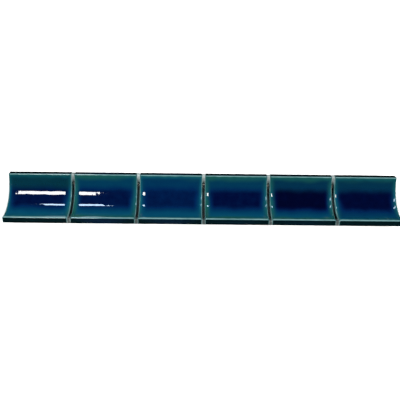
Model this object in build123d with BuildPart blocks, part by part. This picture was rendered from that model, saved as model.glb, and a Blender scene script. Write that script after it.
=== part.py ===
"""Porcelain cove mosaic strip.

A row of hollow-faced (cove) tiles that rounds off an inside corner of a pool or a wall.
Each tile is pressed and fired as one piece.  Dots of resin in the joints hold the row together.

Frame: the strip lies on its back, hollow side up.  X runs along the strip, Y across it and
Z up.  The origin is at the middle of the strip, on the plane that it lies on.
"""

import os
from math import cos, radians, sin, tan

from build123d import *

# Driving dimensions, in millimetres and degrees

# The row
tile_count = 6
tile_length = 48.0
joint_width = 2.0

# Section of a tile: the hollow face, and the thickness at its rims and along its middle
cove_radius = 25.0
cove_angle = 90.0
tile_thickness = 4.8

# Rounding of the long arrises and heels, and the bevel that eases the ends of the face and the rims
edge_radius = 1.2
end_bevel = 0.7

# Keys: shallow grooves along the back that the adhesive grips
key_width = 2.0
key_depth = 0.5
key_spacing = 4.2
keys_on_land = 5
keys_on_slope = 2

# Resin dots, one at each end of a joint, flush with the sloping backs
dot_length = 7.6
dot_rise = 4.0

# Sizes that follow from these
half_angle = radians(cove_angle / 2)
back_radius = cove_radius + tile_thickness
axis_height = back_radius
slope_length = back_radius * tan(half_angle / 2)
land_half_width = slope_length
heel_y = back_radius * sin(half_angle)
heel_z = axis_height - back_radius * cos(half_angle)
tile_pitch = tile_length + joint_width


def slope_point(side, distance):
    """Place in the YZ section, at a distance down a sloping back from its heel."""
    return (side * (heel_y - distance * cos(half_angle)), heel_z - distance * sin(half_angle))


def slope_plane(side, x):
    """Plane square to the strip at x: origin at a heel, local X down the slope, local Y outwards."""
    down_slope = (0, -side * cos(half_angle), -sin(half_angle))
    return Plane(origin=(x, side * heel_y, heel_z), x_dir=down_slope, z_dir=(side, 0, 0))


# One cove tile, at the middle of the strip's length
with BuildPart() as tile:
    # Section: the hollow between two radial rims, on a flat land to lie on and two slopes to bond
    with BuildSketch(Plane.YZ.offset(-tile_length / 2)):
        with BuildLine():
            hollow = CenterArc((0, axis_height), cove_radius, 270 - cove_angle / 2, cove_angle)
            Polyline(
                hollow @ 1,
                slope_point(1, 0),
                (land_half_width, 0),
                (-land_half_width, 0),
                slope_point(-1, 0),
                hollow @ 0,
            )
        section = make_face()
        fillet(section.vertices().group_by(Axis.Y)[-1], edge_radius)

        # Keys in the land and in the slopes
        with GridLocations(key_spacing, 0, keys_on_land, 1):
            Rectangle(key_width, 2 * key_depth, mode=Mode.SUBTRACT)
        for side in (-1, 1):
            for key in range(keys_on_slope):
                distance = slope_length / 2 + (key - (keys_on_slope - 1) / 2) * key_spacing
                with Locations(slope_point(side, distance)):
                    Rectangle(
                        key_width,
                        2 * key_depth,
                        rotation=side * cove_angle / 2,
                        mode=Mode.SUBTRACT,
                    )
    extrude(amount=tile_length)

    # Ease both ends, along the hollow and down the rims, and round the heels
    end_edges = tile.faces().filter_by(Axis.X).edges()
    rim_ends = end_edges.filter_by(GeomType.LINE).group_by(Axis.Z)[-1]
    chamfer(end_edges.filter_by(GeomType.CIRCLE) + rim_ends, end_bevel)
    rims = tile.faces().filter_by(GeomType.PLANE).group_by(Axis.Z)[-1]
    heels = rims.edges().filter_by(Axis.X).group_by(Axis.Z)[0]
    fillet(heels, edge_radius)

os.makedirs("parts", exist_ok=True)

# The row of tiles
first_x = -(tile_count - 1) / 2 * tile_pitch
for number in range(tile_count):
    with BuildPart() as cove_tile:
        with Locations((first_x + number * tile_pitch, 0, 0)):
            add(tile.part)
    cove_tile.part.label = f"cove_tile_{number + 1}"
    export_step(cove_tile.part, f"parts/{cove_tile.part.label}.step")

# The resin dots: resin that has run into each joint from the back, square towards the rim, where
# the rounding of the heels ends, and domed towards the middle of the strip
for number in range(tile_count - 1):
    joint_x = first_x + (number + 0.5) * tile_pitch
    for side, where in ((-1, "front"), (1, "back")):
        with BuildPart() as joint_dot:
            with BuildSketch(slope_plane(side, joint_x)):
                with BuildLine():
                    dome = EllipticalCenterArc(
                        (edge_radius, 0), dot_length, dot_rise, 270, arc_size=90
                    )
                    Polyline(dome @ 1, (edge_radius, 0), dome @ 0)
                make_face()
            extrude(amount=joint_width / 2, both=True)
        joint_dot.part.label = f"joint_dot_{where}_{number + 1}"
        export_step(joint_dot.part, f"parts/{joint_dot.part.label}.step")
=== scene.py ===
"""Porcelain cove mosaic strip: the glazed skins of its tiles and resin dots, on a plain stage.

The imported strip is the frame: X runs along it, Y across it and Z up out of its hollow, in metres.
Each skin is worked out with numpy from the sizes in the settings, and stands for one solid of
the strip.
"""

from math import cos, pi, radians, sin, tan
from typing import NamedTuple

import bpy
import numpy as np
from bpy.props import FloatProperty, FloatVectorProperty, IntProperty, PointerProperty
from mathutils import Matrix, Vector


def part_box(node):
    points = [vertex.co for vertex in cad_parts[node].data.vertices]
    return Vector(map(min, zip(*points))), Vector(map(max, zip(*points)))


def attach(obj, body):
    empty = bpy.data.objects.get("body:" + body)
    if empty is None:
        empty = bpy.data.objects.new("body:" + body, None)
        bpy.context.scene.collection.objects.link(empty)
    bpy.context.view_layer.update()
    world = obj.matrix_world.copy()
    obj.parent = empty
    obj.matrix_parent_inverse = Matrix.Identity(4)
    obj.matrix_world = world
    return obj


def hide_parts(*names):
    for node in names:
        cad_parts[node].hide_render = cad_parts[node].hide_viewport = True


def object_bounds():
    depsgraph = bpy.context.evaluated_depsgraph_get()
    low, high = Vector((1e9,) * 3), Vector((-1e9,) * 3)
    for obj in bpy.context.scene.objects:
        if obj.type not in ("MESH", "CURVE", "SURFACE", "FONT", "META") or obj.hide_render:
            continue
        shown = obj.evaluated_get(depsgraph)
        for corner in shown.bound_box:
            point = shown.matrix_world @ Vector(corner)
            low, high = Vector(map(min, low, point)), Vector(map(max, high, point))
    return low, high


bl_info = {
    "name": "Porcelain Cove Strip",
    "version": (1, 0, 0),
    "blender": (4, 5, 0),
    "location": "View3D > Sidebar > Cove Strip",
    "description": "Glazed tiles of a cove mosaic strip, resin dots in its joints and a stage",
    "category": "Add Mesh",
}

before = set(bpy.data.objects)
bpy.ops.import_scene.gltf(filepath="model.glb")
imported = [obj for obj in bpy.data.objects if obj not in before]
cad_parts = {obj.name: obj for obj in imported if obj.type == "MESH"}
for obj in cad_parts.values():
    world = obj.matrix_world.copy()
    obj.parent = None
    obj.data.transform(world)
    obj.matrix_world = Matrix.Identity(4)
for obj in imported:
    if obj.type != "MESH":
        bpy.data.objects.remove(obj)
cad_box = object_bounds()

# Names of the strip's solids
body_name = "root"
tile_nodes = sorted(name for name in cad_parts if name.startswith("cove_tile_"))
dot_nodes = sorted(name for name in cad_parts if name.startswith("joint_dot_"))
joint_count = len(tile_nodes) - 1

# How finely the skins are divided
face_steps = 60
rim_steps = 8
roll_steps = 14
wall_steps = 8
dome_steps = 28
joint_steps = 8

# Width of the slant that stands for a key's steep wall
wall_slack = 0.00002

# Shares of the way from the middle of the hollow to a rim where the roll at the ends grows short
roll_fade = (0.45, 0.95)

# Edges that turn more than this stay sharp in the shading
sharp_angle = radians(40)

# Start of the random draws, one run of them for each tile or dot
glaze_seed = 41
resin_seed = 87


class TileSizes(bpy.types.PropertyGroup):
    """Sizes of one cove tile"""

    cove_radius: FloatProperty(
        name="Cove Radius", description="Radius of the hollow face", default=0.025, unit="LENGTH"
    )
    cove_angle: FloatProperty(
        name="Cove Angle",
        description="Angle that the hollow face covers",
        default=radians(90),
        subtype="ANGLE",
    )
    thickness: FloatProperty(
        name="Thickness",
        description="Thickness at the rims and along the middle",
        default=0.0048,
        unit="LENGTH",
    )
    edge_radius: FloatProperty(
        name="Edge Radius",
        description="Rounding of the rims' long edges",
        default=0.0012,
        unit="LENGTH",
    )
    heel_radius: FloatProperty(
        name="Heel Radius",
        description="Rounding of the rims' lower edges",
        default=0.0005,
        unit="LENGTH",
    )
    corner_radius: FloatProperty(
        name="Corner Radius",
        description="Rounding of the rims' upright edges",
        default=0.0010,
        unit="LENGTH",
    )
    end_drop: FloatProperty(
        name="End Drop",
        description="Depth by which the face rolls down at its ends",
        default=0.0013,
        unit="LENGTH",
    )
    hollow_roll: FloatProperty(
        name="Hollow Roll",
        description="Length of that roll along the middle of the hollow",
        default=0.0054,
        unit="LENGTH",
    )
    rim_roll: FloatProperty(
        name="Rim Roll",
        description="Length of that roll at the rims",
        default=0.0014,
        unit="LENGTH",
    )
    key_width: FloatProperty(
        name="Key Width", description="Width of a groove in the back", default=0.002, unit="LENGTH"
    )
    key_depth: FloatProperty(
        name="Key Depth", description="Depth of a groove in the back", default=0.0005, unit="LENGTH"
    )
    key_spacing: FloatProperty(
        name="Key Spacing",
        description="Distance from groove to groove",
        default=0.0042,
        unit="LENGTH",
    )
    keys_on_land: IntProperty(
        name="Keys on Land", description="Grooves in the flat of the back", default=5
    )
    keys_on_slope: IntProperty(
        name="Keys on Slope", description="Grooves in each sloping back", default=2
    )
    swell: FloatProperty(
        name="Swell",
        description="Height of the broad waves in the glaze",
        default=0.000007,
        unit="LENGTH",
    )
    ripple: FloatProperty(
        name="Ripple",
        description="Height of the fine waves in the glaze",
        default=0.0000025,
        unit="LENGTH",
    )


class DotSizes(bpy.types.PropertyGroup):
    """Sizes of one resin dot"""

    length: FloatProperty(
        name="Length",
        description="Length of a dot along the sloping back",
        default=0.0084,
        unit="LENGTH",
    )
    recess: FloatProperty(
        name="Recess",
        description="Distance of a dot from the plane of the rim",
        default=0.0004,
        unit="LENGTH",
    )
    nose: FloatProperty(
        name="Nose",
        description="Length of a dot's steep side, towards the rim",
        default=0.0007,
        unit="LENGTH",
    )
    rise: FloatProperty(
        name="Rise",
        description="Height of a dot above the sloping back",
        default=0.0044,
        unit="LENGTH",
    )
    hollow: FloatProperty(
        name="Hollow",
        description="Share of the rise that is lost midway between two tiles",
        default=0.12,
        min=0.0,
        max=0.6,
        subtype="FACTOR",
    )
    bluntness: FloatProperty(
        name="Bluntness",
        description="Power of the dome's curve: one is round, and less is blunter",
        default=0.6,
        min=0.2,
        max=1.0,
    )
    lap: FloatProperty(
        name="Lap",
        description="Width that a dot spreads over each tile's rolled end",
        default=0.0007,
        unit="LENGTH",
    )


class GlazeFinish(bpy.types.PropertyGroup):
    """Colours and gloss of the glazed porcelain"""

    pale_edge: FloatVectorProperty(
        name="Pale Edge",
        description="Glaze that has run thin over an edge",
        default=(0.11, 0.20, 0.21),
        subtype="COLOR",
    )
    green_glaze: FloatVectorProperty(
        name="Green Glaze",
        description="Thin glaze beside an edge",
        default=(0.006, 0.066, 0.075),
        subtype="COLOR",
    )
    teal_glaze: FloatVectorProperty(
        name="Teal Glaze",
        description="Glaze high on the slopes",
        default=(0.0007, 0.039, 0.080),
        subtype="COLOR",
    )
    sea_glaze: FloatVectorProperty(
        name="Sea Glaze",
        description="Glaze midway down the slopes",
        default=(0.0001, 0.0225, 0.058),
        subtype="COLOR",
    )
    blue_glaze: FloatVectorProperty(
        name="Blue Glaze",
        description="Glaze low on the slopes",
        default=(0.0, 0.0085, 0.042),
        subtype="COLOR",
    )
    deep_glaze: FloatVectorProperty(
        name="Deep Glaze",
        description="Glaze at the edge of the pool",
        default=(0.0, 0.0016, 0.0178),
        subtype="COLOR",
    )
    navy_glaze: FloatVectorProperty(
        name="Navy Glaze",
        description="Glaze pooled in the hollow",
        default=(0.0, 0.0006, 0.009),
        subtype="COLOR",
    )
    margin_green: FloatVectorProperty(
        name="Margin Green",
        description="Greener breaks along the margins",
        default=(0.0055, 0.0500, 0.0390),
        subtype="COLOR",
    )
    # Partly the glaze's own green, partly painted shade on the back slope
    slope_green: FloatVectorProperty(
        name="Slope Green",
        description="Green cast of the back slope",
        default=(0.0010, 0.0240, 0.0222),
        subtype="COLOR",
    )
    rim_green: FloatVectorProperty(
        name="Rim Green",
        description="Dark glaze on the rims and the ends",
        default=(0.0002, 0.0040, 0.0050),
        subtype="COLOR",
    )
    rim_blue: FloatVectorProperty(
        name="Rim Blue",
        description="Bluer runs on the rims",
        default=(0.0012, 0.0062, 0.0155),
        subtype="COLOR",
    )
    bisque: FloatVectorProperty(
        name="Bisque",
        description="Bare fired porcelain of the back",
        default=(0.62, 0.58, 0.51),
        subtype="COLOR",
    )
    bisque_speck: FloatVectorProperty(
        name="Bisque Speck",
        description="Darker grains in the bare porcelain",
        default=(0.42, 0.38, 0.32),
        subtype="COLOR",
    )
    gloss_roughness: FloatProperty(
        name="Gloss Roughness", description="Roughness of the glaze", default=0.02, subtype="FACTOR"
    )
    bisque_roughness: FloatProperty(
        name="Bisque Roughness",
        description="Roughness of the bare porcelain",
        default=0.75,
        subtype="FACTOR",
    )


class ResinFinish(bpy.types.PropertyGroup):
    """Colours and gloss of the resin"""

    lit_resin: FloatVectorProperty(
        name="Milky Resin",
        description="Main colour of the resin",
        default=(0.5, 0.58, 0.57),
        subtype="COLOR",
    )
    # Painted shade: the dark colour of resin that lies in shade
    shaded_resin: FloatVectorProperty(
        name="Shaded Resin",
        description="Dark, shaded resin",
        default=(0.032, 0.044, 0.043),
        subtype="COLOR",
    )
    roughness: FloatProperty(
        name="Roughness",
        description="Roughness of the resin's skin",
        default=0.38,
        subtype="FACTOR",
    )


class StageSettings(bpy.types.PropertyGroup):
    """Camera, floor and lights"""

    azimuth: FloatProperty(
        name="Azimuth",
        description="Camera's turn round the strip",
        default=radians(-3.31),
        subtype="ANGLE",
    )
    elevation: FloatProperty(
        name="Elevation",
        description="Camera's angle above the floor",
        default=radians(68.08),
        subtype="ANGLE",
    )
    roll: FloatProperty(
        name="Roll",
        description="Camera's turn about its own axis",
        default=radians(2.77),
        subtype="ANGLE",
    )
    distance: FloatProperty(
        name="Distance", description="Camera's distance from the strip", default=0.42, unit="LENGTH"
    )
    lens: FloatProperty(
        name="Lens", description="Focal length in millimetres", default=49.5, unit="CAMERA"
    )
    aim: FloatVectorProperty(
        name="Aim",
        description="Point that the middle of the picture shows",
        default=(-0.0027, -0.0009, 0.008),
        subtype="TRANSLATION",
        unit="LENGTH",
    )
    floor_colour: FloatVectorProperty(
        name="Floor", description="Colour of the floor", default=(0.95, 0.95, 0.95), subtype="COLOR"
    )
    room: FloatProperty(
        name="Room", description="Brightness of the dim room that the glaze mirrors", default=0.012
    )
    front_light: FloatProperty(
        name="Front Light", description="Strength of each soft light in front", default=2.8
    )
    back_light: FloatProperty(
        name="Back Light", description="Strength of each soft light behind", default=2.3
    )
    left_lamp: FloatProperty(
        name="Left Lamps",
        description="Brightness of the lamps that the glaze mirrors on the left",
        default=27.0,
    )
    right_lamp: FloatProperty(
        name="Right Lamps",
        description="Brightness of the lamps that the glaze mirrors on the right",
        default=15.0,
    )


class CoveStripSettings(bpy.types.PropertyGroup):
    """All settings of the strip and its stage"""

    tile: PointerProperty(type=TileSizes)
    dot: PointerProperty(type=DotSizes)
    glaze: PointerProperty(type=GlazeFinish)
    resin: PointerProperty(type=ResinFinish)
    stage: PointerProperty(type=StageSettings)


# Section of a tile

class Section:
    """Sizes of a tile's cross section that follow from its settings."""

    def __init__(self, tile):
        self.half_angle = tile.cove_angle / 2
        self.back_radius = tile.cove_radius + tile.thickness
        self.axis_height = cad_box[0].z + self.back_radius
        self.rim_arc = tile.cove_radius * self.half_angle
        self.slope_length = self.back_radius * tan(self.half_angle / 2)
        self.land_keys = self.spread(tile.keys_on_land) * tile.key_spacing
        self.slope_keys = self.slope_length / 2 + self.spread(tile.keys_on_slope) * tile.key_spacing

    @staticmethod
    def spread(count):
        """Whole steps about zero: as many as count, with their middle at zero."""
        return np.arange(count) - (count - 1) / 2


class LongProfile(NamedTuple):
    """Upper side of a tile's long sections, from the foot of one end over the face to the other.

    Each array has a row for each station across the tile.
    """

    place: np.ndarray
    drop: np.ndarray
    wall: np.ndarray
    lean: np.ndarray
    rise: np.ndarray


def smooth_step(value, low, high):
    """Zero below low, one above high, and the cubic S of 3 t t - 2 t t t between them."""
    share = np.clip((value - low) / (high - low), 0, 1)
    return share * share * (3 - 2 * share)


# Soft waves: how many sines are summed, and how much their lengths differ
wave_count = 9
wave_stretch = (0.7, 1.4)


def soft_waves(across, along, chance, wavelength, count=wave_count):
    """Sum of sine waves of about one wavelength, each with a random heading, stretch and phase.

    The sum is scaled to a mean square of one.
    """
    heading = chance.uniform(0, 2 * pi, count)
    stretch = chance.uniform(*wave_stretch, count)
    phase = chance.uniform(0, 2 * pi, count)
    across = np.asarray(across)[..., None]
    along = np.asarray(along)[..., None]
    run = (across * np.cos(heading) + along * np.sin(heading)) * stretch / wavelength
    return np.sin(2 * pi * run + phase).sum(axis=-1) / np.sqrt(count / 2)


def key_walls(tile, section):
    """Angles about the cove's axis just outside and just inside each wall of each key.

    A place on the land, or its distance down a slope from the heel, is the back radius times the
    tangent of its angle from the line where that plane touches the back radius.
    """
    half = tile.key_width / 2
    walls = np.array([-half - wall_slack, -half + wall_slack, half - wall_slack, half + wall_slack])
    on_land = np.arctan((section.land_keys[:, None] + walls) / section.back_radius).ravel()
    from_heel = np.arctan((section.slope_keys[:, None] + walls) / section.back_radius).ravel()
    on_slope = section.half_angle - from_heel
    return np.concatenate([on_land, on_slope, -on_slope])


def stations_across(tile, section):
    """Angles about the cove's axis and turns round the rims' edges, from the front rim to the back.

    The stations are even over the face, with four more at each key.  At each rim they go round a
    quarter circle of the edge radius, where the place follows the sine of the turn.
    """
    rim_turn = np.linspace(0, pi / 2, rim_steps + 1)[1:]
    rounding = section.rim_arc - tile.edge_radius
    even = np.linspace(-rounding, rounding, face_steps + 1)
    middle = np.sort(np.concatenate([even, key_walls(tile, section) * tile.cove_radius]))
    rim_place = rounding + tile.edge_radius * np.sin(rim_turn)
    place = np.concatenate([-rim_place[::-1], middle, rim_place])
    turn = np.concatenate([rim_turn[::-1], np.zeros_like(middle), rim_turn])
    return place / tile.cove_radius, turn


def roll_lengths(tile, section, angle):
    """Length of the roll at a tile's ends, at each station: long in the hollow, short at the rims."""
    share = smooth_step(np.abs(angle) / section.half_angle, *roll_fade)
    return tile.hollow_roll + (tile.rim_roll - tile.hollow_roll) * share


def back_distance(tile, section, angle):
    """Distance of the keyed back from the cove's axis, at an angle about that axis.

    The land and the two slopes are planes that touch the back radius at the middle and at the
    heels, so the distance is that radius over the cosine of the angle from the nearest of these
    lines.  A key takes its depth off the radius.
    """
    from_heel = section.half_angle - np.abs(angle)
    lean = np.minimum(np.abs(angle), from_heel)
    land_place = section.back_radius * np.tan(angle)
    slope_place = section.back_radius * np.tan(from_heel)
    land_gap = np.abs(land_place[:, None] - section.land_keys).min(axis=1)
    slope_gap = np.abs(slope_place[:, None] - section.slope_keys).min(axis=1)
    gap = np.where(np.abs(angle) < from_heel, land_gap, slope_gap)
    depth = np.where(gap < tile.key_width / 2, tile.key_depth, 0)
    return (section.back_radius - depth) / np.cos(lean)


def long_profile(tile, length, roll):
    """End wall, quarter of an ellipse, straight face, and the same mirrored, for each station's roll.

    Over the ellipse the place follows the sine of the turn and the drop one less its cosine.  The
    wall counts down from one at its foot to zero where the roll begins.  Lean and rise are the
    parts of the outward normal along the tile and towards the cove's axis.
    """
    roll = roll[:, None]
    turn = np.linspace(pi / 2, 0, roll_steps, endpoint=False)
    wall = np.linspace(1, 0, wall_steps, endpoint=False)
    face = (length / 2 - roll) * np.linspace(-1, 1, face_steps + 1)
    flat = np.zeros(face_steps + 1)
    size = np.hypot(tile.end_drop * np.sin(turn), roll * np.cos(turn))

    def both_ends(at_wall, at_roll, on_face, side):
        """Rows for all stations: the wall and the roll of one end, the face, and the other end."""
        parts = [
            np.broadcast_to(part, (len(roll), np.shape(part)[-1]))
            for part in (at_wall, at_roll, on_face)
        ]
        one_end = np.concatenate(parts[:2], axis=1)
        return np.concatenate([one_end, parts[2], side * one_end[:, ::-1]], axis=1)

    return LongProfile(
        place=both_ends(
            np.full(wall_steps, -length / 2), roll * (1 - np.sin(turn)) - length / 2, face, -1
        ),
        drop=both_ends(
            np.full(wall_steps, tile.end_drop), tile.end_drop * (1 - np.cos(turn)), flat, 1
        ),
        wall=both_ends(wall, np.zeros(roll_steps), flat, 1),
        lean=both_ends(np.full(wall_steps, -1.0), -tile.end_drop * np.sin(turn) / size, flat, -1),
        rise=both_ends(np.zeros(wall_steps), roll * np.cos(turn) / size, flat + 1, 1),
    )


def round_the_loop(upper, lower):
    """Joins the upper row of each station to the lower row, run backwards, into one closed loop."""
    return np.concatenate([upper, lower[:, -2:0:-1]], axis=1)


def tube_faces(stations, loop):
    """Faces of a tube of closed loops with a strip of quads across each open end.

    A point's number is its station times the loop's length, plus its place in the loop.  The upper
    row of a loop is its first half, so each end strip joins the points that lie opposite each other.
    """
    station = np.arange(stations - 1)[:, None] * loop
    here = np.arange(loop)[None, :]
    following = (here + 1) % loop
    following_station = station + loop
    corners_of_sides = [
        station + here,
        station + following,
        following_station + following,
        following_station + here,
    ]
    sides = np.stack(corners_of_sides, axis=-1).reshape(-1, 4)
    row = loop // 2 + 1
    upper = np.arange(row)
    lower = (loop - upper) % loop
    first = np.stack([lower[1:-2], lower[2:-1], upper[2:-1], upper[1:-2]], axis=-1)
    corners = np.array([[upper[0], lower[1], upper[1]], [lower[-2], upper[-1], upper[-2]]])
    last = (stations - 1) * loop
    quads = np.concatenate([sides, first, first[:, ::-1] + last])
    triangles = np.concatenate([corners, corners[:, ::-1] + last])
    return quads.tolist() + triangles.tolist()


def make_piece(name, points, faces, material, node, fields):
    """Makes a mesh object that stands for one solid, with a value at each point for each field."""
    mesh = bpy.data.meshes.new(name)
    mesh.from_pydata(points.reshape(-1, 3).tolist(), [], faces)
    for field, values in fields:
        mesh.attributes.new(field, "FLOAT", "POINT").data.foreach_set("value", values.ravel())
    mesh.shade_smooth()
    mesh.set_sharp_from_angle(angle=sharp_angle)
    mesh.materials.append(material)
    piece = bpy.data.objects.new(name, mesh)
    bpy.context.scene.collection.objects.link(piece)
    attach(piece, body_name)
    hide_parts(node)


# Glaze of a tile: its depth, its pale, green and dark parts, and where the porcelain is bare

# Wavelengths of the broad and the fine waver in the borders of the glaze
broad_wave = 0.024
fine_wave = 0.007

# Angles about the cove's axis over which the pool in the hollow fades towards each rim
front_fade = (radians(7), radians(34))
back_fade = (radians(12.5), radians(29.5))
fade_waver = radians(0.7)

# Angle on both sides of the middle over which the front slope's coat turns into the back slope's
slope_turn = radians(16)

# How far the glaze takes to grow deep, from a rim and from an end
rim_margin = (0.0008, 0.0040)
rim_waver = 0.0002
end_margin = (0.0002, 0.0032)
pool_margin = (-0.0010, 0.0076)
pool_waver = 0.0004

# Depth of the thin coat at the margins
thin_depth = 0.18

# The pale break along a rim's edge: where it starts and stops, and how strong it is
front_start = (0.0001, 0.0003)
front_break = (0.0009, 0.0021)
back_start = (0.00012, 0.00032)
back_break = (0.0006, 0.0011)
break_waver = 0.00005
break_strength = 0.94
break_variety = 0.06
rim_end = (0.0, 0.0012)

# The pale break along an end's edge, and down the corners of the rims, where the pale is partly a
# painted highlight
end_break = (0.0002, 0.0010)
end_turn = 0.10
end_strength = 0.82
end_share = 0.9
end_variety = 0.12
corner_break_and_highlight = 0.8
corner_stop = (0.05, 0.2)

# How far the green reaches from a rim and from an end, and how strong it is at an end
green_reach = (0.0014, 0.0062)
green_waver = 0.0005
end_green_reach = (0.0010, 0.0050)
end_green = 0.75

# Waves that stand in the glaze: their lengths, how many sines are in the ripple, and the distance
# from a rim where they reach their full height
swell_wave = 0.013
ripple_wave = 0.0042
ripple_count = 14
lift_margin = 0.004

# How each tile came out of the kiln: depths of its pool and slopes, green along its margins and
# over its back slope, the lean of that green along the tile, and blue on its rims.  The back slopes
# are deeper and greener than the front slopes, partly in the glaze and partly as painted shade
pool_depths = (0.90, 0.89, 0.86, 0.915, 1.00, 0.96)
front_depths = (0.33, 0.30, 0.37, 0.37, 0.42, 0.56)
back_depths_and_shade = (0.84, 0.60, 0.67, 0.64, 0.77, 0.78)
front_greens = (0.20, 0.95, 0.20, 0.95, 0.85, 0.45)
back_greens = (0.20, 0.70, 0.22, 0.66, 0.66, 0.36)
slope_greens_and_shade = (0.56, 0.22, 0.12, 0.26, 0.38, 0.42)
green_leans = (0.10, -0.25, 0.00, -0.30, 0.00, 0.35)
rim_blues = (0.0, 1.0, 0.8, 0.3, 0.3, 0.0)

# Share of the rims' dark glaze in the coat of the end walls
wall_run = 0.35

# Where the glaze stops on the end walls and below the heels
wall_stop = 0.985
wall_waver = 0.02
wall_fade = 0.05
heel_stop = 0.0022
heel_waver = 0.0005
heel_fade = 0.0004


class GlazeFields(NamedTuple):
    """Values over a tile's skin that its material reads."""

    glaze_depth: np.ndarray
    margin_green: np.ndarray
    slope_green: np.ndarray
    run_off: np.ndarray
    rim_blue: np.ndarray
    bare: np.ndarray


def glaze_fields(tile, section, profile, angle, turn, number, chance):
    """Works out the glaze over a tile's upper side and back.

    Depth is a pool along the hollow that fades with the angle, over a thinner coat on the slopes,
    and both thin out towards the rims and the ends.  The back slope's coat is deeper than the
    front's, partly in the glaze and partly as painted shade.  Along the edges it breaks to nothing,
    which shows pale, and down the rims' upright corners that pale is partly a painted highlight.  The
    margins are greener, and so is the back slope, partly as painted shade.  The coat that has run off
    over the rims is dark, and its blue fades from the middle of the tile as one less the square of
    the place.
    """
    length = 2 * profile.place.max()
    place = angle[:, None] * tile.cove_radius
    rim_gap = section.rim_arc - np.abs(place)
    end_gap = length / 2 - np.abs(profile.place)
    wall = profile.wall
    broad = soft_waves(place, profile.place, chance, broad_wave)
    fine = soft_waves(place, profile.place, chance, fine_wave)

    height = angle[:, None] + fade_waver * broad
    backwards = smooth_step(height, -slope_turn, slope_turn)
    # The back slope is set deeper than the front: partly the glaze, partly painted shade
    slope = front_depths[number] + (back_depths_and_shade[number] - front_depths[number]) * backwards
    fade = np.where(height > 0, smooth_step(height, *back_fade), smooth_step(-height, *front_fade))
    pool = (1 - fade) * smooth_step(end_gap + pool_waver * broad, *pool_margin)
    coat = smooth_step(rim_gap + rim_waver * fine, *rim_margin) * smooth_step(end_gap, *end_margin)
    depth = coat * (slope + (pool_depths[number] - slope) * pool)

    at_back = place > 0
    ragged = rim_gap + break_waver * fine
    begun = np.where(at_back, smooth_step(rim_gap, *back_start), smooth_step(rim_gap, *front_start))
    ended = np.where(at_back, smooth_step(ragged, *back_break), smooth_step(ragged, *front_break))
    on_wall = smooth_step(wall, 0, end_turn)
    along_rim = begun * (1 - ended) * smooth_step(end_gap, *rim_end)
    along_end = begun * (1 - smooth_step(end_gap, *end_break)) * (1 - on_wall)
    along_rim = along_rim * (break_strength + break_variety * np.clip(broad, -1, 1))
    edge = np.maximum(along_rim, end_strength * along_end * (end_share + end_variety * fine))
    # Pale down the rims' upright corners: glaze break and painted highlight
    corner = corner_break_and_highlight * np.sin(2 * turn)[:, None] ** 2 * smooth_step(1 - wall, *corner_stop)
    edge = np.maximum(edge, corner * (wall > 0))
    depth = np.clip(depth * (1 - edge) + (1 - coat) * thin_depth * (1 - edge), 0, 1)

    run_off = np.maximum(1 - begun, wall_run * on_wall) * (1 - edge)
    green = np.where(at_back, back_greens[number], front_greens[number])
    near_rim = 1 - smooth_step(rim_gap + green_waver * broad, *green_reach)
    near_end = end_green * (1 - smooth_step(end_gap, *end_green_reach))
    lean = 1 + green_leans[number] * profile.place / (length / 2)
    margin = np.clip(np.maximum(near_rim, near_end) * green * lean, 0, 1) * (1 - edge)
    # Green cast on the back slope: partly the glaze, partly painted shade
    cast = slope_greens_and_shade[number] * fade * backwards * (1 - edge)
    rim_blue = rim_blues[number] * (1 - (2 * profile.place / length) ** 2)
    upper_bare = smooth_step(wall + wall_waver * fine, wall_stop, wall_stop + wall_fade)
    upper_bare = upper_bare * smooth_step(rim_gap, 0, heel_stop)
    lower_bare = smooth_step(rim_gap + heel_waver * fine, heel_stop, heel_stop + heel_fade)
    return GlazeFields(
        glaze_depth=round_the_loop(depth, np.ones_like(depth)),
        margin_green=round_the_loop(margin, np.zeros_like(margin)),
        slope_green=round_the_loop(cast, np.zeros_like(cast)),
        run_off=round_the_loop(run_off, np.ones_like(run_off)),
        rim_blue=round_the_loop(rim_blue, rim_blue),
        bare=round_the_loop(upper_bare, lower_bare),
    )


def glaze_lift(tile, section, profile, angle, chance):
    """Waves that stand in the glaze: a broad swell and a fine ripple, calm on end walls and rims."""
    place = angle[:, None] * tile.cove_radius
    calm = smooth_step(section.rim_arc - np.abs(place), tile.edge_radius, lift_margin)
    swell = tile.swell * soft_waves(place, profile.place, chance, swell_wave)
    ripple = tile.ripple * soft_waves(place, profile.place, chance, ripple_wave, ripple_count)
    return (swell + ripple) * profile.rise * calm


def tile_skin(tile, section, profile, angle, turn, lift, centre):
    """Points of a tile's skin: its long section carried about the cove's axis, from rim to rim.

    A point lies at the cove radius plus its drop from the axis, at its station's angle.  The inset
    is the edge radius times one less the cosine of the rim's turn, and moves the upper side against
    its normal.  The nip, the same with the corner radius, moves the ends inwards.  The heel, a
    quarter circle of its own radius at the very rim, moves the back towards the axis.
    """
    length = 2 * profile.place.max()
    inset = tile.edge_radius * (1 - np.cos(turn))[:, None]
    nip = tile.corner_radius * (1 - np.cos(turn))[:, None]
    rim_gap = section.rim_arc - tile.cove_radius * np.abs(angle)[:, None]
    heel_turn = np.arcsin(np.clip(1 - rim_gap / tile.heel_radius, 0, 1))
    heel = tile.heel_radius * (1 - np.cos(heel_turn))
    foot = back_distance(tile, section, angle)[:, None] - tile.cove_radius - heel
    upper_x = profile.place - nip * profile.lean
    upper_drop = profile.drop + inset * profile.rise + profile.wall * (foot - tile.end_drop) - lift
    lower_x = (length / 2 - nip) * np.linspace(-1, 1, profile.place.shape[1])
    lower_drop = np.broadcast_to(foot, lower_x.shape)
    x = round_the_loop(upper_x, lower_x)
    radius = tile.cove_radius + round_the_loop(upper_drop, lower_drop)
    y = radius * np.sin(angle)[:, None]
    z = section.axis_height - radius * np.cos(angle)[:, None]
    return np.stack([centre + x, y, z], axis=-1)


# Resin dots

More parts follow.
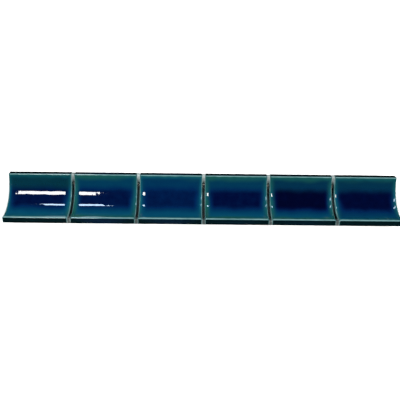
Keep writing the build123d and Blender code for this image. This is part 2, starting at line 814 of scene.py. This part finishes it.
# How much the dots differ in length and in height, and the lumps in their domes
dot_variety = 0.1
lump_height = 0.05
lump_wave = 1.3
lump_floor = 0.85

# Distances down the slope from the heel over which a dot's lap over the tiles' ends runs out
lap_reach = (0.0020, 0.0045)

# Share of lit resin, which paints light and shade on the dots: the front dots are in painted shade,
# with painted light along their sides, and the back dots, one value for each joint, are painted
# lit at the rim and go into painted shade towards their tails, down in the joint
front_lit_share = 0.0
side_lit_share = 0.26
side_power = 4
back_lit_share = (0.30, 0.56, 0.50, 0.40, 0.38)
tail_lit_share = 0.26
tail_start = (0.0014, 0.0068)


def dot_lit_share(side, joint, distance, across):
    """Share of lit resin in a dot, which paints its light and shade, by the distance down the slope
    or the place across the joint.

    At the back it fades down the slope, and in front it follows a power of the place.
    """
    if side > 0:
        near_rim = 1 - smooth_step(distance, *tail_start)
        return tail_lit_share + (back_lit_share[joint] - tail_lit_share) * near_rim
    return front_lit_share + (side_lit_share - front_lit_share) * across ** side_power


def dot_skin(dot, tile, section, side, joint, joint_x, half_width, chance):
    """Points of a resin dot and the share of painted light on each.

    The dot is a lopsided dome over a flat base, carried from one tile's end to the next.  Down the
    slope the dome is half an oval.  Its place follows the cosine of the turn, over a short nose
    towards the rim and a long tail the other way, and its height follows a power of the sine.
    Across the joint the height dips by the hollow, as one less the square of the place, because the
    resin climbs the two ends that it wets.  Near the rim it also spreads over the foot of their
    roll, by up to the lap, and fills the groove between their rounded corners, which widens as one
    less the cosine of the corner's turn.
    """
    across = np.linspace(-1, 1, joint_steps + 1)[:, None]
    turn = np.linspace(0, pi, dome_steps + 1)[None, :]
    tail = (dot.length - dot.nose) * (1 - dot_variety * chance.random())
    height = dot.rise * (1 - dot_variety * chance.random()) * (1 - dot.hollow * (1 - across ** 2))
    lump = 1 + lump_height * soft_waves(across, np.cos(turn), chance, lump_wave)
    down = dot.recess + dot.nose - np.where(turn < pi / 2, dot.nose, tail) * np.cos(turn)
    dome = height * np.sin(turn) ** dot.bluntness * np.clip(lump, lump_floor, 1)
    down = np.broadcast_to(down, dome.shape)
    distance = round_the_loop(down, down)
    inwards = round_the_loop(dome, np.zeros_like(dome))
    slope = section.half_angle
    heel_y = section.back_radius * sin(slope)
    heel_z = section.axis_height - section.back_radius * cos(slope)
    lap = dot.lap * smooth_step(inwards, tile.thickness - tile.end_drop, dot.rise)
    corner_turn = np.arcsin(np.clip(1 - distance / tile.edge_radius, 0, 1))
    groove = tile.corner_radius * (1 - np.cos(corner_turn))
    spread = np.maximum(lap * (1 - smooth_step(distance, *lap_reach)), groove)
    x = joint_x + (half_width + spread) * across
    y = side * (heel_y - distance * cos(slope) - inwards * sin(slope))
    z = heel_z - distance * sin(slope) + inwards * cos(slope)
    # Share of lit resin: painted light and shade on the dot
    milkiness = dot_lit_share(side, joint, distance, across)
    return np.stack([x, y, z], axis=-1), np.broadcast_to(milkiness, x.shape)


# Shaders

class Term:
    """A shader socket in a Python expression: each operator on values adds one Math node."""

    def __init__(self, graph, socket):
        self.graph = graph
        self.socket = socket

    def math(self, operation, first, second):
        """Adds a Math node on two values."""
        sockets = {"Value": first, "Value_001": second}
        return self.graph.node("ShaderNodeMath", {"operation": operation}, sockets, "Value")

    def __add__(self, other):
        return self.math("ADD", self, other)

    def __radd__(self, other):
        return self.math("ADD", other, self)

    def __sub__(self, other):
        return self.math("SUBTRACT", self, other)

    def __rsub__(self, other):
        return self.math("SUBTRACT", other, self)

    def __mul__(self, other):
        return self.math("MULTIPLY", self, other)

    def __rmul__(self, other):
        return self.math("MULTIPLY", other, self)


class ShaderGraph:
    """Node tree of one material or of the world."""

    def __init__(self, owner):
        owner.use_nodes = True
        self.tree = owner.node_tree
        self.tree.nodes.clear()

    def node(self, kind, settings, sockets, output):
        """Adds a node: first its settings, then the values or links of its sockets by identifier."""
        node = self.tree.nodes.new(kind)
        for name, value in settings.items():
            if name == "stops":
                self.set_stops(node.color_ramp, value)
            else:
                setattr(node, name, value)
        inputs = {socket.identifier: socket for socket in node.inputs}
        for name, value in sockets.items():
            if isinstance(value, Term):
                self.tree.links.new(value.socket, inputs[name])
            else:
                inputs[name].default_value = value
        outputs = {socket.identifier: socket for socket in node.outputs}
        return Term(self, outputs[output]) if output else None

    @staticmethod
    def set_stops(ramp, stops):
        """Gives a ramp its places and colours."""
        while len(ramp.elements) < len(stops):
            ramp.elements.new(1.0)
        for element, (position, colour) in zip(ramp.elements, stops):
            element.position = position
            element.color = (*colour, 1.0)

    def place(self):
        """Place on the piece, in the strip's frame."""
        return self.node("ShaderNodeTexCoord", {}, {}, "Object")

    def field(self, name):
        """Value that the piece carries at each of its points under a name."""
        return self.node("ShaderNodeAttribute", {"attribute_name": name}, {}, "Fac")

    def noise(self, place, grain, detail=2.0):
        """Noise with features about one grain across, in metres."""
        return self.node(
            "ShaderNodeTexNoise", {}, {"Vector": place, "Scale": 1 / grain, "Detail": detail}, "Fac"
        )

    def mix(self, share, first, second):
        """Colour that goes from first to second with the share."""
        sockets = {"Factor_Float": share}
        for name, colour in (("A_Color", first), ("B_Color", second)):
            sockets[name] = colour if isinstance(colour, Term) else (*colour, 1.0)
        return self.node("ShaderNodeMix", {"data_type": "RGBA"}, sockets, "Result_Color")

    def bump(self, height, strength):
        """Normal that a height, in metres, gives the surface."""
        sockets = {"Strength": strength, "Distance": 1.0, "Height": height}
        return self.node("ShaderNodeBump", {}, sockets, "Normal")

    def finish(self, **sockets):
        """Joins a Principled shader with these sockets to the material's output."""
        named = {name.replace("_", " ").title(): value for name, value in sockets.items()}
        surface = self.node("ShaderNodeBsdfPrincipled", {}, named, "BSDF")
        self.node("ShaderNodeOutputMaterial", {}, {"Surface": surface}, None)


# Depths of the glaze at which it has each of its colours
glaze_stops = (
    (0.0, "pale_edge"),
    (0.16, "green_glaze"),
    (0.36, "teal_glaze"),
    (0.56, "sea_glaze"),
    (0.78, "blue_glaze"),
    (0.92, "deep_glaze"),
    (1.0, "navy_glaze"),
)

# Middle of a noise's range
noise_middle = 0.5

# Noises in the glaze: their grains, and how much they change depth, green, gloss and height
mottle_grain = 0.005
mottle_detail = 3.0
speck_grain = 0.0007
pit_grain = 0.0016
pit_detail = 1.0
mottle_depth = 0.10
speck_depth = 0.05
green_share = 0.85
green_variety = 0.3
mottle_roughness = 0.02
pit_height = 0.0000015
speck_height = 0.00006
glaze_bump = 1.0

# Noises in the resin: their grains, and how much they change milkiness, gloss and height
cloud_grain = 0.0022
cloud_detail = 3.0
bubble_grain = 0.0004
cloud_lit_share = 0.5
bubble_roughness = 0.2
cloud_height = 0.00004
bubble_height = 0.00002
resin_bump = 0.6

# Unevenness of the floor
floor_grain = 0.4
floor_shade = 0.97
floor_roughness = 0.9


def glaze_material(glaze):
    """Gloss glaze whose colour follows its depth, over bare porcelain."""
    material = bpy.data.materials.new("cove_glaze")
    graph = ShaderGraph(material)
    place = graph.place()
    mottle = graph.noise(place, mottle_grain, mottle_detail)
    specks = graph.noise(place, speck_grain)
    pits = graph.noise(place, pit_grain, pit_detail)

    depth = graph.field("glaze_depth") + mottle_depth * (mottle - noise_middle)
    depth = depth + speck_depth * (specks - noise_middle)
    stops = [(stop, getattr(glaze, name)) for stop, name in glaze_stops]
    coat = graph.node("ShaderNodeValToRGB", {"stops": stops}, {"Fac": depth}, "Color")
    green = graph.field("margin_green") * (green_share + green_variety * mottle)
    coat = graph.mix(graph.field("slope_green"), coat, glaze.slope_green)
    coat = graph.mix(green, coat, glaze.margin_green)
    rim = graph.mix(graph.field("rim_blue"), glaze.rim_green, glaze.rim_blue)
    coat = graph.mix(graph.field("run_off"), coat, rim)

    bare = graph.field("bare")
    body = graph.mix(specks, glaze.bisque_speck, glaze.bisque)
    roughness = glaze.gloss_roughness + mottle_roughness * mottle
    roughness = roughness + bare * (glaze.bisque_roughness - glaze.gloss_roughness)
    height = pit_height * pits + speck_height * (bare * specks)
    colour = graph.mix(bare, coat, body)
    graph.finish(base_color=colour, roughness=roughness, normal=graph.bump(height, glaze_bump))
    return material


def resin_material(resin):
    """Milky resin in painted shade, a dark colour, where its lit share is low, with clouds and small
    bubbles.
    """
    material = bpy.data.materials.new("joint_resin")
    graph = ShaderGraph(material)
    place = graph.place()
    clouds = graph.noise(place, cloud_grain, cloud_detail)
    bubbles = graph.noise(place, bubble_grain)
    # The lit share mixes painted shade, the dark resin, with the lit resin
    lit_resin = graph.field("milkiness") + cloud_lit_share * (clouds - noise_middle)
    colour = graph.mix(lit_resin, resin.shaded_resin, resin.lit_resin)
    roughness = resin.roughness + bubble_roughness * (bubbles - noise_middle)
    height = cloud_height * clouds + bubble_height * bubbles
    graph.finish(base_color=colour, roughness=roughness, normal=graph.bump(height, resin_bump))
    return material


def floor_material(colour):
    """Matt pale floor with a faint unevenness."""
    material = bpy.data.materials.new("pale_floor")
    graph = ShaderGraph(material)
    cloud = graph.noise(graph.place(), floor_grain)
    shade = graph.mix(cloud, tuple(floor_shade * part for part in colour), tuple(colour))
    graph.finish(base_color=shade, roughness=floor_roughness)
    return material


# Stage: floor, room, lights and camera

# Reach of the floor to each side, brightness of the room that the camera sees, and the nearest
# distance at which it sees anything
floor_reach = 40.0
pale_brightness = 1.0
near_clip = 0.01

# The soft lights: how wide each looks, and where they stand
sun_spread = radians(20)
sun_elevation = radians(43)
front_azimuth = radians(61)
back_azimuth = radians(106)

# The mirrored lamps: the middle of each at the lamps' height, its size, its turn and its colour
lamp_height = 1.2
warm_white = (1.0, 0.99, 0.96)
cool_white = (0.60, 0.80, 1.0)
left_lamps = (
    ("left_near_lamp", (-0.403, 0.02), (0.235, 0.20), radians(5), warm_white),
    ("left_far_lamp", (-0.447, 1.13), (0.230, 0.23), radians(-4), cool_white),
)
right_lamps = (
    ("right_near_lamp", (1.45, 0.40), (0.7, 0.24), 0.0, cool_white),
    ("right_far_lamp", (1.45, 1.25), (0.7, 0.24), 0.0, cool_white),
)


def direction(azimuth, elevation):
    """Unit vector towards an azimuth, counted from straight in front, and an elevation."""
    low = cos(elevation)
    return Vector((sin(azimuth) * low, -cos(azimuth) * low, sin(elevation)))


def make_floor(colour):
    """Flat square floor at the level of the strip's land."""
    level = cad_box[0].z
    side = np.array([-floor_reach, floor_reach])
    x, y = np.meshgrid(side, side)
    points = np.stack([x, y, np.full_like(x, level)], axis=-1).reshape(-1, 3)
    mesh = bpy.data.meshes.new("floor")
    mesh.from_pydata(points.tolist(), [], [(0, 1, 3, 2)])
    mesh.materials.append(floor_material(colour))
    floor = bpy.data.objects.new("floor", mesh)
    bpy.context.scene.collection.objects.link(floor)
    floor.visible_glossy = False


def add_light(name, kind):
    """Adds a light of a kind and returns its object."""
    light = bpy.data.objects.new(name, bpy.data.lights.new(name, kind))
    bpy.context.scene.collection.objects.link(light)
    return light


def add_soft_light(name, azimuth, strength):
    """Adds one broad soft light, far away, that the glaze doesn't mirror."""
    light = add_light(name, "SUN")
    light.data.energy = strength
    light.data.angle = sun_spread
    away = direction(azimuth, sun_elevation)
    light.rotation_euler = away.to_track_quat("Z", "Y").to_euler()
    light.visible_glossy = False


def add_mirrored_lamp(name, place, size, turn, colour, brightness):
    """Adds one flat lamp overhead, facing down, that only shows mirrored in gloss."""
    light = add_light(name, "AREA")
    light.data.shape = "RECTANGLE"
    light.data.size, light.data.size_y = size
    light.data.color = colour
    light.data.energy = brightness * pi * size[0] * size[1]
    light.location = (*place, lamp_height)
    light.rotation_euler = (0, 0, turn)
    light.visible_diffuse = False
    light.visible_camera = False


def set_room(brightness):
    """Dim room all round, which the camera sees as pale as the floor."""
    world = bpy.data.worlds.new("room")
    bpy.context.scene.world = world
    graph = ShaderGraph(world)
    white = (1, 1, 1, 1)
    dim, pale = (
        graph.node("ShaderNodeBackground", {}, {"Color": white, "Strength": strength}, "Background")
        for strength in (brightness, pale_brightness)
    )
    seen = graph.node("ShaderNodeLightPath", {}, {}, "Is Camera Ray")
    sockets = {"Fac": seen, "Shader": dim, "Shader_001": pale}
    shown = graph.node("ShaderNodeMixShader", {}, sockets, "Shader")
    graph.node("ShaderNodeOutputWorld", {}, {"Surface": shown}, None)


def add_camera(stage):
    """Camera at the stage's angles, aimed at one point and rolled about its own axis."""
    data = bpy.data.cameras.new("camera")
    data.lens = stage.lens
    data.clip_start = near_clip
    camera = bpy.data.objects.new("camera", data)
    bpy.context.scene.collection.objects.link(camera)
    middle = (cad_box[0] + cad_box[1]) / 2
    eye = middle + direction(stage.azimuth, stage.elevation) * stage.distance
    look = (eye - Vector(stage.aim)).normalized()
    turn = look.to_track_quat("Z", "Y").to_matrix() @ Matrix.Rotation(stage.roll, 3, "Z")
    camera.matrix_world = Matrix.LocRotScale(eye, turn, None)
    bpy.context.scene.camera = camera


# Operators and panel

class COVE_STRIP_OT_make_tiles(bpy.types.Operator):
    """Make the glazed skin of every tile"""

    bl_idname = "cove_strip.make_tiles"
    bl_label = "Make Tiles"

    def execute(self, context):
        settings = context.scene.cove_strip
        tile = settings.tile
        section = Section(tile)
        material = glaze_material(settings.glaze)
        angle, turn = stations_across(tile, section)
        roll = roll_lengths(tile, section, angle)
        for number, node in enumerate(tile_nodes):
            low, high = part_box(node)
            profile = long_profile(tile, high.x - low.x, roll)
            chance = np.random.default_rng(glaze_seed + number)
            fields = glaze_fields(tile, section, profile, angle, turn, number, chance)
            lift = glaze_lift(tile, section, profile, angle, chance)
            points = tile_skin(tile, section, profile, angle, turn, lift, (low.x + high.x) / 2)
            faces = tube_faces(*points.shape[:2])
            make_piece(
                f"glazed_tile_{number + 1}", points, faces, material, node,
                fields._asdict().items(),
            )
        return {"FINISHED"}


class COVE_STRIP_OT_make_dots(bpy.types.Operator):
    """Make the skin of every resin dot"""

    bl_idname = "cove_strip.make_dots"
    bl_label = "Make Resin Dots"

    def execute(self, context):
        settings = context.scene.cove_strip
        section = Section(settings.tile)
        material = resin_material(settings.resin)
        # The sorted nodes run along the back joints and then along the front joints
        for number, node in enumerate(dot_nodes):
            low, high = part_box(node)
            side = 1 if low.y + high.y > 0 else -1
            joint = number % joint_count
            chance = np.random.default_rng(resin_seed + number)
            points, milkiness = dot_skin(
                settings.dot, settings.tile, section, side, joint,
                (low.x + high.x) / 2, (high.x - low.x) / 2, chance,
            )
            faces = tube_faces(*points.shape[:2])
            if side < 0:
                faces = [face[::-1] for face in faces]
            make_piece(
                node.replace("joint", "resin"), points, faces, material, node,
                (("milkiness", milkiness),),
            )
        return {"FINISHED"}


class COVE_STRIP_OT_set_stage(bpy.types.Operator):
    """Set the floor, the lights and the camera"""

    bl_idname = "cove_strip.set_stage"
    bl_label = "Set Stage"

    def execute(self, context):
        stage = context.scene.cove_strip.stage
        make_floor(stage.floor_colour)
        set_room(stage.room)
        for side, where in ((-1, "left"), (1, "right")):
            add_soft_light(f"{where}_front_light", side * front_azimuth, stage.front_light)
            add_soft_light(f"{where}_back_light", side * back_azimuth, stage.back_light)
        for lamps, brightness in ((left_lamps, stage.left_lamp), (right_lamps, stage.right_lamp)):
            for lamp in lamps:
                add_mirrored_lamp(*lamp, brightness)
        add_camera(stage)
        context.scene.view_settings.view_transform = "Standard"
        return {"FINISHED"}


class COVE_STRIP_PT_panel(bpy.types.Panel):
    """Settings of the strip, and the steps that make it"""

    bl_idname = "COVE_STRIP_PT_panel"
    bl_label = "Cove Strip"
    bl_space_type = "VIEW_3D"
    bl_region_type = "UI"
    bl_category = "Cove Strip"

    def draw(self, context):
        settings = context.scene.cove_strip
        for operator, groups in (
            (COVE_STRIP_OT_make_tiles, (settings.tile, settings.glaze)),
            (COVE_STRIP_OT_make_dots, (settings.dot, settings.resin)),
            (COVE_STRIP_OT_set_stage, (settings.stage,)),
        ):
            box = self.layout.box()
            for group in groups:
                for name in group.__annotations__:
                    box.prop(group, name)
            box.operator(operator.bl_idname)


classes = (
    TileSizes,
    DotSizes,
    GlazeFinish,
    ResinFinish,
    StageSettings,
    CoveStripSettings,
    COVE_STRIP_OT_make_tiles,
    COVE_STRIP_OT_make_dots,
    COVE_STRIP_OT_set_stage,
    COVE_STRIP_PT_panel,
)


def register():
    """Makes the add-on's classes and settings known to Blender."""
    for cls in classes:
        bpy.utils.register_class(cls)
    bpy.types.Scene.cove_strip = PointerProperty(type=CoveStripSettings)


def unregister():
    """Takes the add-on's settings and classes away again."""
    del bpy.types.Scene.cove_strip
    for cls in reversed(classes):
        bpy.utils.unregister_class(cls)


def main():
    """Registers the add-on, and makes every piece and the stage."""
    register()
    bpy.ops.cove_strip.make_tiles()
    bpy.ops.cove_strip.make_dots()
    bpy.ops.cove_strip.set_stage()


if __name__ == "__main__":
    main()
